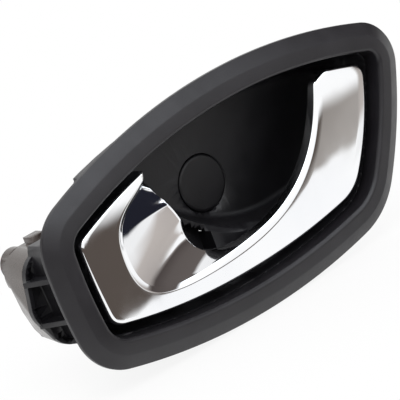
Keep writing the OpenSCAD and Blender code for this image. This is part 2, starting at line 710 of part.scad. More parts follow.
// Carrier: two knuckles on the hinge pin, a foot on the lever's back and the release arm
carrier_left = pivot_x - 2.8;
carrier_right = pivot_x + 3;
carrier_plate = 1.2;
module knuckle(z) {
    translate([pivot_x, pivot_y, z])
        cylinder(r = knuckle_r, h = knuckle_h);
    translate([carrier_left, lever_plate, z])
        cube([carrier_right - carrier_left, pivot_y - lever_plate, knuckle_h]);
}
module lever_carrier() {
    color("#26272a") from_trim() difference() {
        union() {
            knuckle(low_knuckle);
            knuckle(high_knuckle);
            translate([carrier_left, lever_plate, low_knuckle])
                cube([carrier_right - carrier_left, carrier_plate, high_knuckle - low_knuckle + knuckle_h]);
            translate([pivot_x - arm_w / 2, pivot_y, low_knuckle])
                cube([arm_w, arm_len, knuckle_h]);
            translate([pivot_x, pivot_y + arm_len, low_knuckle])
                cylinder(r = nipple_r + 1.7, h = knuckle_h);
        }
        translate([pivot_x, pivot_y, low_knuckle - over])
            cylinder(r = pin_r + snug, h = ear_high - ear_low);
        translate([pivot_x, pivot_y + arm_len, low_knuckle - over])
            cylinder(r = nipple_r, h = knuckle_h + 2 * over);
        translate([pivot_x - nipple_r - 3, pivot_y + arm_len - 0.9, low_knuckle + knuckle_h / 2 - 0.9])
            cube([nipple_r + 3, nipple_r + 4, 1.8]);
    }
}

// Hinge pin with a head above and a clip groove below
pin_low = ear_low - ear_t - 1.8;
pin_high = ear_high + ear_t + 0.2;
groove_z = ear_low - ear_t - 0.8;
module pivot_pin() {
    color("#a9adb1") from_trim() translate([pivot_x, pivot_y, 0])
        rotate_extrude()
            polygon([
                [0, pin_low], [pin_r - 0.4, pin_low], [pin_r, pin_low + 0.4], [pin_r, groove_z - 0.05],
                [pin_r - 0.5, groove_z - 0.05], [pin_r - 0.5, groove_z + 0.65], [pin_r, groove_z + 0.65],
                [pin_r, pin_high], [pin_r + 1.2, pin_high], [pin_r + 1.2, pin_high + 0.7],
                [pin_r + 0.8, pin_high + 1.1], [0, pin_high + 1.1]
            ]);
}
module pin_clip() {
    color("#6b6f75") from_trim() translate([pivot_x, pivot_y, groove_z])
        rotate([0, 0, 130])
            rotate_extrude(angle = 280)
                translate([pin_r - 0.5 + snug, 0])
                    square([1.7, 0.6]);
}
module bush(z0, flange_z) {
    color("#d9d6cc") from_trim() difference() {
        union() {
            translate([pivot_x, pivot_y, z0])
                cylinder(r = bush_r, h = ear_t);
            translate([pivot_x, pivot_y, flange_z])
                cylinder(r = knuckle_r, h = bush_flange);
        }
        translate([pivot_x, pivot_y, z0 - 2])
            cylinder(r = pin_r + pin_gap, h = ear_t + 4);
    }
}
module bush_upper() {
    bush(ear_high, ear_high - bush_flange);
}
module bush_lower() {
    bush(ear_low - ear_t, ear_low);
}

// Torsion spring between the knuckles: one leg stands on the pocket's floor, the other presses on the carrier's plate
coil_r = pin_r + 0.3 + wire_r;
coil_steps = 12;
coil_z = (low_knuckle + knuckle_h + high_knuckle - spring_turns * coil_pitch) / 2;
function coil_point(i) = let (a = 180 + 360 * i / coil_steps)
    [pivot_x + coil_r * cos(a), pivot_y + coil_r * sin(a), coil_z + coil_pitch * i / coil_steps];
spring_path = concat(
    [[pivot_x - coil_r, pocket_y, coil_z], [pivot_x - coil_r, pivot_y + 1, coil_z]],
    [for (i = [0:spring_turns * coil_steps]) coil_point(i)],
    [[pivot_x - coil_r, lever_plate + carrier_plate, coil_z + spring_turns * coil_pitch]]
);
function wire_ring(path, i) = let (
    n = len(path) - 1,
    d = path[min(i + 1, n)] - path[max(i - 1, 0)],
    u = d / norm(d),
    side = cross(u, [0, 0, 1]) / norm(cross(u, [0, 0, 1])),
    up = cross(side, u)
) [for (k = [0:7]) path[i] + wire_r * (cos(45 * k) * side + sin(45 * k) * up)];
module return_spring() {
    color("#8d9298") from_trim() skin([for (i = [0:len(spring_path) - 1]) wire_ring(spring_path, i)], false);
}

// Rubber buffers standing on the ledge under the lever's lower arm
module buffer(x) {
    p = [x, arc_z(3, buffer_in, x)];
    front = lever_side;
    stem = buffer_r * 0.55;
    color("#121212") from_trim() translate([p[0], 0, p[1]])
        rotate([-90, 0, 0])
            rotate_extrude()
                polygon([
                    [0, front], [buffer_r - 0.6, front], [buffer_r, front + 0.6], [buffer_r, ledge_y], [stem, ledge_y],
                    [stem, ledge_y + wall + 0.2], [stem + 0.5, ledge_y + wall + 0.3],
                    [stem * 0.7, ledge_y + wall + 1.6], [0, ledge_y + wall + 1.6]
                ]);
}
module buffer_near_end() {
    buffer(buffer_near);
}
module buffer_far_end() {
    buffer(buffer_far);
}

// Rear case: a wall with the seat of the cable's conduit stands behind its low end wall, and the release arm
// swings in a window
seat_wall_x = case_left + 7.9;
seat_wall_t = 2;
arm_end = pivot_y + arm_len;
tower_r = 5.3;
tab = [5, 5, 1.7];
module rear_case() {
    window_x = pivot_x - 7;
    window_gap = 7;
    boss_h = 4;
    seat_back = arm_end + conduit_r + 1;
    color("#0d0e10") from_trim() difference() {
        union() {
            difference() {
                case_block(0, case_back);
                translate([0, -seat_gap, 0])
                    case_block(case_wall, case_back - case_wall);
                translate([case_left - over, case_back - end_drop, case_bottom - over])
                    cube([seat_wall_x - case_left + over, case_back, case_bulge_z + 7 - case_bottom + over]);
            }
            translate([seat_wall_x, case_front, knuckle_mid - 6])
                cube([seat_wall_t, seat_back - case_front, 12]);
            for (z = [knuckle_mid - 6 - rib_t, knuckle_mid + 6])
                translate([seat_wall_x, case_back - case_wall - 3, z])
                    cube([seat_wall_t, 4, rib_t]);
            for (s = screw_places)
                post(s[0], s[1], case_front, case_front + boss_h, screw_head_r + 1.2);
            post(screw_places[0][0], screw_places[0][1], case_back - case_wall, case_back + tower_h, tower_r);
            translate([pivot_x - 4, case_back - tab[1] - case_edge, case_top - case_wall])
                cube([tab[0], tab[1], case_wall + tab[2]]);
        }
        for (s = screw_places) {
            post(s[0], s[1], case_front - over, case_front + boss_h + over, screw_r + 0.15);
            post(s[0], s[1], case_front + boss_h, case_back + tower_h + over, screw_head_r + 0.6);
        }
        translate([window_x, case_front + window_gap, knuckle_mid - window_gap])
            cube([case_right - window_gap - case_wall - window_x, case_back, 2 * window_gap]);
        translate([seat_wall_x - over, arm_end, knuckle_mid])
            rotate([0, 90, 0])
                cylinder(r = conduit_r, h = seat_wall_t + 2 * over);
        translate([seat_wall_x - over, arm_end, knuckle_mid - conduit_r * 0.8])
            cube([seat_wall_t + 2 * over, case_back, conduit_r * 1.6]);
        slab(case_front - over, case_back + over) polygon(bowl_outline(bowl_draft, wall + 0.4));
    }
}
module case_screw(place) {
    head_y = case_front + 4;
    color("#5d6268") from_trim() translate([place[0], 0, place[1]])
        rotate([-90, 0, 0])
            difference() {
                rotate_extrude()
                    polygon([
                        [0, head_y - screw_len], [screw_r * 0.5, head_y - screw_len],
                        [screw_r, head_y - screw_len + 1.4], [screw_r, head_y], [screw_head_r, head_y],
                        [screw_head_r, head_y + 1], [screw_head_r - 0.7, head_y + 1.8], [0, head_y + 1.8]
                    ]);
                for (a = [0, 90])
                    rotate([0, 0, a])
                        translate([-1.6, -0.4, head_y + 0.9])
                            cube([3.2, 0.8, 2]);
            }
}
module case_screw_upper() {
    case_screw(screw_places[0]);
}
module case_screw_lower() {
    case_screw(screw_places[1]);
}
module case_screw_inner() {
    case_screw(screw_places[2]);
}

// Spring steel clips on the housing's blades
module trim_clip() {
    low = -blade_in - blade_t - snug;
    high = low + blade_t + 2 * snug;
    root = skirt_y + flange_t + 2;
    end = skirt_y + flange_t + blade_len + snug;
    rotate([90, 0, 90])
        translate([0, 0, -clip_w / 2])
            linear_extrude(clip_w)
                polygon([
                    [root, low - clip_t], [end + clip_t, low - clip_t], [end + clip_t, high + clip_t * 0.6],
                    [end - 3.5, high + clip_t + 1.6], [root + 0.4, high + clip_t],
                    [root + 0.4, high], [end - 3.6, high + 1.5], [end, high + 0.2], [end, low], [root, low]
                ]);
}
module trim_clip_end() {
    color("#80858b") from_trim() on_edge(clip_places[0][0], clip_places[0][1]) trim_clip();
}
module trim_clip_bottom() {
    color("#80858b") from_trim() on_edge(clip_places[1][0], clip_places[1][1]) trim_clip();
}

bezel();
housing();
screw_cap();
fixing_sleeve();
lever();
lever_backing();
lever_carrier();
pivot_pin();
pin_clip();
bush_upper();
bush_lower();
return_spring();
buffer_near_end();
buffer_far_end();
rear_case();
case_screw_upper();
case_screw_lower();
case_screw_inner();
trim_clip_end();
trim_clip_bottom();
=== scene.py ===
"""Looks of the car interior door handle: smooth bezel, lever and mouldings, materials, studio and camera."""

import math

import bmesh
import bpy
import numpy as np
from mathutils import Matrix, Vector


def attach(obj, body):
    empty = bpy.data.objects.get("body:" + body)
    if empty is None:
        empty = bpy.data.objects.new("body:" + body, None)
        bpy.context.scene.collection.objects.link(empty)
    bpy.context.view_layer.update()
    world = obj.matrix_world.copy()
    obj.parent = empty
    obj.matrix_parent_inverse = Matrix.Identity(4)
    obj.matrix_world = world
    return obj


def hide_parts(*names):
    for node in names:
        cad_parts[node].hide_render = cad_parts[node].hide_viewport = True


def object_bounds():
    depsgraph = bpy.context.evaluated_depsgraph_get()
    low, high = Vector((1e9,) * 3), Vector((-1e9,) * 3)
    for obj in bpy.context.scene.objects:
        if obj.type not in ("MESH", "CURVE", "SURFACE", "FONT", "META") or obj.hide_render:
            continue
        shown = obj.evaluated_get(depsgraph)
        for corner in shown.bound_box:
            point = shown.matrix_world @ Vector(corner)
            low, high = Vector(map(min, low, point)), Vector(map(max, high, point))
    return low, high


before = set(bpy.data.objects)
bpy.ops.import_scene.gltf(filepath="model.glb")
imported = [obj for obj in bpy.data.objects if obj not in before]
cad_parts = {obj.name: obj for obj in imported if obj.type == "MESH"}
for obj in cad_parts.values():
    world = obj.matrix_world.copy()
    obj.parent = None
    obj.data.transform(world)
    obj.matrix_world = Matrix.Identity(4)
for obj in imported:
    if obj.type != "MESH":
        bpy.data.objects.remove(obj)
cad_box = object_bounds()

MM = 0.001
MERGE = 1e-6  # points closer than this, in metres, become one
SHARP = 35  # edges of the lofted pieces stay sharp from this angle on, in degrees
CAD_SHARP = 30  # the same for the copies of CAD nodes

# Face outline, in mm from the screw's axis and degrees
SIDES = [  # reach, direction and radius of each side's arc
    (56.4, -43.0, 140.0),  # free end
    (36.2, 92.0, 188.0),  # top
    (76.4, 181.5, 148.0),  # hinge end
    (39.0, 272.5, 213.0),  # bottom
]
FACE_CORNERS = [13.5, 16.0, 17.5, 27.5]
LEVER_CORNERS = [3.5, 4.0, 5.0, 14.5]
SIDE_STEPS = [40, 60, 28, 60]
CORNER_STEPS = 18
TRIM_Y = -34.1  # the door trim's plane; depths are measured from it

# Bezel, in mm
BAND_W = 9.4
BEZEL_SIDE_H = 1.4
RIDGE_IN = 4.4
RIDGE_H = 3.7
BEZEL_H = 4.6
INNER_RISE = 0.1
BEZEL_WALL = 1.8
SEAT_W = 2.0
SKIRT_Y = 3.0
OUTER_EDGE_R = 0.5
RIDGE_R = 2.4
INNER_EDGE_R = 1.15
INSIDE_R = 0.6
SMALL_R = 0.3
FOOT_R = 0.2

# Lever, in mm and degrees
LEVER_IN = 13.0
LEVER_EYE = np.array([-8.0, 2.0])  # the sections stand on rays from this point
STRAIGHT_UP = 90  # turns round the eye are counted from this direction
LEVER_SIDE = 5.5
LEVER_EDGE_R = 1.4
LEVER_WALL = 1.8
LEVER_PLATE = 1.6
LEVER_CROWN = 1.6
CROWN_Z = -2.0
CROWN_REACH = 24
EDGE_SHARE = 0.4  # the edge's radius and the wall are at most these shares of the width
WALL_SHARE = 0.3

# Finger opening and horn of the lever, in mm and degrees
OPENING_LEFT = (-50.8, -2.2)
OPENING_BOTTOM = (-22.0, -19.5)
HORN_X = -34.0
HORN_W = 2.0
HORN_RUN = 3.4  # the horn's outer side runs on by this, over the first turn
HORN_TURN = 14
TIP_X = 39.2
TIP_W = 2.4
TIP_TURN = 1.2  # both ends of the loft are rounded over this turn
END_SIZE = 0.82  # size of the first and the last section, which then grow to 1
END_GROWTH = 0.18
END_SINK = 3

# Lip, rim and scoop of the lever, in mm and degrees
LIP_W = 2.2
LIP_DROP = 0.8
LIP_DEPTH = 2.2
LIP_START = 0.45  # the lip's width begins at this share and grows, then shrinks along the arm
LIP_GROWTH = 0.55
LIP_SHRINK = 0.4
LIP_SHRINK_AT = 235
LIP_TURN = 50
LIP_BEND = 0.35
RIM_W = 1.0
RIM_GROWTH = 0.4
RIM_GROWTH_END = 215
RIM_GROWTH_TURN = 40
RIM_ROUND = 0.18
RIM_ROUND_MID = 0.3
RIM_CROWN = 0.02
SCOOP_DEPTH = 7.0
SCOOP_CURVE = 0.12
SCOOP_NOSE = np.array([-21.9, -1.8])
SCOOP_START_TURN = 25
SCOOP_END_TURN = 60
WALL_BEND = 0.3
WALL_BEND_TO = 0.15
BEFORE_RIM = 0.97

# Steps of the lever's loft
CURVE_STEPS = 120
EDGE_STEPS = 8
FRONT_STEPS = 8
BEND_STEPS = 4
BEND_SHARE = 0.45  # a bend takes at most this share of each of its two lines
WALL_STEPS = 20
END_STEPS = 8
BODY_STEPS = 300


def unit(a):
    return np.array([math.cos(math.radians(a)), math.sin(math.radians(a))])


def heading(v):
    return math.degrees(math.atan2(v[1], v[0]))


def side_centre(k):
    reach, direction, r = SIDES[k % 4]
    return (reach - r) * unit(direction)


def meet(p, a, q, b):
    """The left-hand crossing of two circles, seen from p to q."""
    d = np.linalg.norm(q - p)
    u = (q - p) / d
    s = (a * a - b * b + d * d) / (2 * d)
    return p + s * u + math.sqrt(a * a - s * s) * np.array([-u[1], u[0]])


def corner_centre(k, inset, corners):
    r = corners[k % 4] + inset
    return meet(side_centre(k), SIDES[k % 4][2] - r, side_centre(k + 1), SIDES[(k + 1) % 4][2] - r)


def outline_rays(inset, corners):
    """Arc centre, arc radius and direction of each point of an outline set in from the bezel's edge."""
    rays = []
    for k in range(4):
        before = corner_centre(k - 1, inset, corners)
        after = corner_centre(k, inset, corners)
        a = heading(before - side_centre(k))
        b = a + (heading(after - side_centre(k)) - a) % 360
        n = SIDE_STEPS[k]
        rays += [(side_centre(k), SIDES[k][2] - inset, a + (b - a) * i / n) for i in range(n)]
        a = heading(after - side_centre(k))
        b = a + (heading(after - side_centre(k + 1)) - a) % 360
        rays += [(after, corners[k], a + (b - a) * i / CORNER_STEPS) for i in range(CORNER_STEPS)]
    return rays


def on_ray(ray, d):
    centre, r, a = ray
    return centre + (r - d) * unit(a)


def arc(centre, r, start, end, steps):
    """Points of an arc, directions in degrees."""
    cx, cy = centre
    turns = [math.radians(start + (end - start) * i / steps) for i in range(steps + 1)]
    return [(cx + r * math.cos(t), cy + r * math.sin(t)) for t in turns]


def rounded(corners):
    """A closed profile of straight lines with its corners rounded; each corner is x, y, radius and steps."""
    out = []
    n = len(corners)
    for i, (x, y, r, steps) in enumerate(corners):
        p = np.array([x, y], float)
        if r == 0:
            out.append(tuple(p))
            continue
        u = np.array(corners[i - 1][:2], float) - p
        v = np.array(corners[(i + 1) % n][:2], float) - p
        u /= np.linalg.norm(u)
        v /= np.linalg.norm(v)
        half = math.acos(max(-1, min(1, float(u @ v)))) / 2
        mid = (u + v) / np.linalg.norm(u + v)
        centre = p + mid * r / math.sin(half)
        a = heading(p + u * r / math.tan(half) - centre)
        b = heading(p + v * r / math.tan(half) - centre)
        sweep = (b - a + 180) % 360 - 180
        out += arc(centre, r, a, a + sweep, steps)
    return out


def loft(name, rings, closed):
    """A mesh through rings of points in mm, given as x, depth from the trim plane, z."""
    n = len(rings)
    m = len(rings[0])
    verts = [(x * MM, (y + TRIM_Y) * MM, z * MM) for ring in rings for x, y, z in ring]
    faces = []
    for i in range(n if closed else n - 1):
        k = (i + 1) % n
        for j in range(m):
            faces.append((i * m + j, i * m + (j + 1) % m, k * m + (j + 1) % m, k * m + j))
    if not closed:
        faces.append(tuple(range(m - 1, -1, -1)))
        faces.append(tuple((n - 1) * m + j for j in range(m)))
    mesh = bpy.data.meshes.new(name)
    mesh.from_pydata(verts, [], faces)
    return new_piece(name, mesh, SHARP)


def new_piece(name, mesh, sharp):
    """Links a mesh as an object, with its normals outwards and smooth up to an angle."""
    bm = bmesh.new()
    bm.from_mesh(mesh)
    bmesh.ops.remove_doubles(bm, verts=bm.verts, dist=MERGE)
    bmesh.ops.recalc_face_normals(bm, faces=bm.faces)
    bm.to_mesh(mesh)
    bm.free()
    mesh.shade_smooth()
    mesh.set_sharp_from_angle(angle=math.radians(sharp))
    obj = bpy.data.objects.new(name, mesh)
    bpy.context.scene.collection.objects.link(obj)
    return obj


# Materials: noise in features per metre, heights and edge radii in metres
NOISE_LOW = 0.3
NOISE_HIGH = 0.7
DRIFT_SCALE = 60
GLOSS_SCALE = 220
GRAIN_SCALE = 1600
GRAIN_H = 0.00003
CASE_GRAIN_SCALE = 500
CASE_GRAIN_H = 0.000015
RUBBER_GRAIN_SCALE = 2500
MARK_SCALE = 900
MARK_H = 0.00001
HAZE_SCALE = 180
TONE_SCALE = 40
WAVE_SCALE = 70
WAVE_H = 0.00004
PLASTIC_EDGE_R = 0.0003
METAL_EDGE_R = 0.00015
BEVEL_SAMPLES = 4


def shader(name, color, roughness, metallic=0.0, **sockets):
    mat = bpy.data.materials.new(name)
    mat.use_nodes = True
    bsdf = mat.node_tree.nodes["Principled BSDF"]
    bsdf.inputs["Base Color"].default_value = (*color, 1)
    bsdf.inputs["Roughness"].default_value = roughness
    bsdf.inputs["Metallic"].default_value = metallic
    for key, value in sockets.items():
        bsdf.inputs[key.replace("_", " ")].default_value = value
    return mat, bsdf


def noise(mat, scale, detail):
    """Noise in the part's own metres; scale is in features per metre."""
    nodes = mat.node_tree.nodes
    coord = nodes.new("ShaderNodeTexCoord")
    tex = nodes.new("ShaderNodeTexNoise")
    tex.inputs["Scale"].default_value = scale
    tex.inputs["Detail"].default_value = detail
    mat.node_tree.links.new(coord.outputs["Object"], tex.inputs["Vector"])
    return tex.outputs["Fac"]


def spread(mat, value, low, high):
    """Maps a noise value to a range of numbers."""
    node = mat.node_tree.nodes.new("ShaderNodeMapRange")
    node.inputs["From Min"].default_value = NOISE_LOW
    node.inputs["From Max"].default_value = NOISE_HIGH
    node.inputs["To Min"].default_value = low
    node.inputs["To Max"].default_value = high
    mat.node_tree.links.new(value, node.inputs["Value"])
    return node.outputs["Result"]


def blend_colors(mat, value, dark, light):
    """Maps a noise value to a colour between two."""
    ramp = mat.node_tree.nodes.new("ShaderNodeValToRGB")
    ramp.color_ramp.elements[0].position = NOISE_LOW
    ramp.color_ramp.elements[0].color = (*dark, 1)
    ramp.color_ramp.elements[1].position = NOISE_HIGH
    ramp.color_ramp.elements[1].color = (*light, 1)
    mat.node_tree.links.new(value, ramp.inputs["Fac"])
    return ramp.outputs["Color"]


def bump(mat, bsdf, value, height, edge_r=0.0):
    """Bump of a height in metres, over edges softened by a radius in metres."""
    nodes, links = mat.node_tree.nodes, mat.node_tree.links
    node = nodes.new("ShaderNodeBump")
    node.inputs["Distance"].default_value = height
    links.new(value, node.inputs["Height"])
    if edge_r:
        bevel = nodes.new("ShaderNodeBevel")
        bevel.samples = BEVEL_SAMPLES
        bevel.inputs["Radius"].default_value = edge_r
        links.new(bevel.outputs["Normal"], node.inputs["Normal"])
    links.new(node.outputs["Normal"], bsdf.inputs["Normal"])


def moulded(name, dark, light, rough, grain=GRAIN_SCALE, grain_h=GRAIN_H, **sockets):
    """Moulded plastic: fine grain, slow colour drift and slightly uneven gloss."""
    mat, bsdf = shader(name, light, sum(rough) / 2, **sockets)
    links = mat.node_tree.links
    drift = noise(mat, DRIFT_SCALE, detail=4)
    links.new(blend_colors(mat, drift, dark, light), bsdf.inputs["Base Color"])
    links.new(spread(mat, noise(mat, GLOSS_SCALE, detail=5), *rough), bsdf.inputs["Roughness"])
    bump(mat, bsdf, noise(mat, grain, detail=2), grain_h, PLASTIC_EDGE_R)
    return mat


def metal(name, dark, light, rough):
    """Plated or bare metal with fine barrel marks."""
    mat, bsdf = shader(name, light, sum(rough) / 2, 1.0)
    links = mat.node_tree.links
    marks = noise(mat, MARK_SCALE, detail=6)
    links.new(blend_colors(mat, marks, dark, light), bsdf.inputs["Base Color"])
    links.new(spread(mat, noise(mat, MARK_SCALE / 3, detail=4), *rough), bsdf.inputs["Roughness"])
    bump(mat, bsdf, marks, MARK_H, METAL_EDGE_R)
    return mat


def chrome(name, dark, light, rough):
    """Bright chrome on moulded plastic: a mirror with faint waviness and a trace of haze."""
    mat, bsdf = shader(name, light, sum(rough) / 2, 1.0)
    links = mat.node_tree.links
    links.new(spread(mat, noise(mat, HAZE_SCALE, detail=5), *rough), bsdf.inputs["Roughness"])
    tone = noise(mat, TONE_SCALE, detail=3)
    links.new(blend_colors(mat, tone, dark, light), bsdf.inputs["Base Color"])
    bump(mat, bsdf, noise(mat, WAVE_SCALE, detail=1), WAVE_H)
    return mat


bezel_mat = moulded(
    "bezel_charcoal", (0.0105, 0.0096, 0.0116), (0.0165, 0.0152, 0.018), (0.33, 0.42),
    Specular_IOR_Level=0.42)
bowl_mat = moulded(
    "bowl_black", (0.0078, 0.0074, 0.0088), (0.0125, 0.012, 0.0142), (0.36, 0.46),
    Specular_IOR_Level=0.42)
cap_mat = moulded(
    "cap_black", (0.0066, 0.0062, 0.0076), (0.0105, 0.01, 0.0118), (0.34, 0.42),
    Specular_IOR_Level=0.4)
inner_mat = moulded("inner_grey", (0.02, 0.02, 0.022), (0.032, 0.032, 0.034), (0.4, 0.5))
case_mat = moulded(
    "case_gloss", (0.024, 0.0175, 0.0145), (0.034, 0.0255, 0.0215), (0.2, 0.28),
    CASE_GRAIN_SCALE, CASE_GRAIN_H, Specular_IOR_Level=0.8, Specular_Tint=(1.0, 0.9, 0.84, 1.0))
bush_mat = moulded("bush_natural", (0.6, 0.58, 0.5), (0.72, 0.7, 0.62), (0.35, 0.45))
rubber_mat = moulded(
    "buffer_rubber", (0.012, 0.012, 0.012), (0.02, 0.02, 0.02), (0.7, 0.85),
    RUBBER_GRAIN_SCALE)
plated_mat = metal("zinc_plated", (0.42, 0.43, 0.45), (0.62, 0.63, 0.65), (0.22, 0.38))
spring_mat = metal("spring_steel", (0.2, 0.21, 0.23), (0.36, 0.37, 0.39), (0.28, 0.42))
chrome_mat = chrome("lever_chrome", (0.83, 0.84, 0.86), (0.88, 0.885, 0.89), (0.025, 0.07))


# Pieces
def dress(obj, mat):
    obj.data.materials.clear()
    obj.data.materials.append(mat)


def replace(piece, node, body, mat):
    dress(piece, mat)
    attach(piece, body)
    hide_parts(node)


def smooth_copy(node, name):
    """The CAD node's own shape with smooth normals on its curved walls, and flat ones kept flat."""
    piece = new_piece(name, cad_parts[node].data.copy(), CAD_SHARP)
    normals = piece.modifiers.new("flat_walls", "WEIGHTED_NORMAL")
    normals.weight = 100
    normals.keep_sharp = True
    return piece


def make_bezel():
    """The bezel band swept round the face, with a soft ridge and a rolled inner edge."""
    inner = BAND_W - BEZEL_WALL
    seat_slope = (RIDGE_H - BEZEL_SIDE_H) / RIDGE_IN
    section = rounded([
        (0, 0, 0, 0),
        (0, -BEZEL_SIDE_H, OUTER_EDGE_R, 5),
        (RIDGE_IN, -RIDGE_H, RIDGE_R, 6),
        (BAND_W, -BEZEL_H - INNER_RISE, INNER_EDGE_R, 9),
        (BAND_W, SKIRT_Y, SMALL_R, 2),
        (inner, SKIRT_Y, SMALL_R, 2),
        (inner, BEZEL_WALL - BEZEL_H, INSIDE_R, 3),
        (RIDGE_IN, BEZEL_WALL - RIDGE_H, 0, 0),
        (SEAT_W, BEZEL_WALL - BEZEL_SIDE_H - seat_slope * SEAT_W, SMALL_R, 2),
        (SEAT_W, 0, FOOT_R, 2),
    ])
    rings = []
    for ray in outline_rays(0, FACE_CORNERS):
        ring = []
        for d, y in section:
            x, z = on_ray(ray, d)
            ring.append((x, y, z))
        rings.append(ring)
    return loft("bezel_band", rings, True)


def bezier(p, t):
    p = [np.array(q, float) for q in p]
    return (1 - t) ** 3 * p[0] + 3 * t * (1 - t) ** 2 * p[1] + 3 * t * t * (1 - t) * p[2] + t ** 3 * p[3]


def ease(t):
    return (1 - math.cos(math.pi * max(0.0, min(1.0, t)))) / 2


def turn_of(p):
    """Turn round the lever's eye from straight up, over the hinge end and the bottom."""
    return (heading(np.array(p) - LEVER_EYE) - STRAIGHT_UP) % 360


def reach_of(points):
    """How far a line through points is from the lever's eye, as a function of the turn."""
    table = sorted((turn_of(p), float(np.linalg.norm(np.array(p) - LEVER_EYE))) for p in points)
    turns, reaches = zip(*table)
    return lambda a: float(np.interp(a, turns, reaches))


def reach_of_curves(curves):
    return reach_of([bezier(c, i / CURVE_STEPS) for c in curves for i in range(CURVE_STEPS + 1)])


def top_z(x):
    """Height of the lever's top edge."""
    centre = side_centre(1)
    r = SIDES[1][2] - LEVER_IN
    return centre[1] + math.sqrt(r * r - (x - centre[0]) ** 2)


def bend(p, corner, q, size):
    """A soft turn at the corner between two lines, which starts and ends a size away from it."""
    p, corner, q = (np.array(v, float) for v in (p, corner, q))
    a = corner + (p - corner) * min(BEND_SHARE, size / np.linalg.norm(p - corner))
    b = corner + (q - corner) * min(BEND_SHARE, size / np.linalg.norm(q - corner))
    ts = [i / BEND_STEPS for i in range(BEND_STEPS + 1)]
    return [tuple((1 - t) ** 2 * a + 2 * t * (1 - t) * corner + t * t * b) for t in ts]


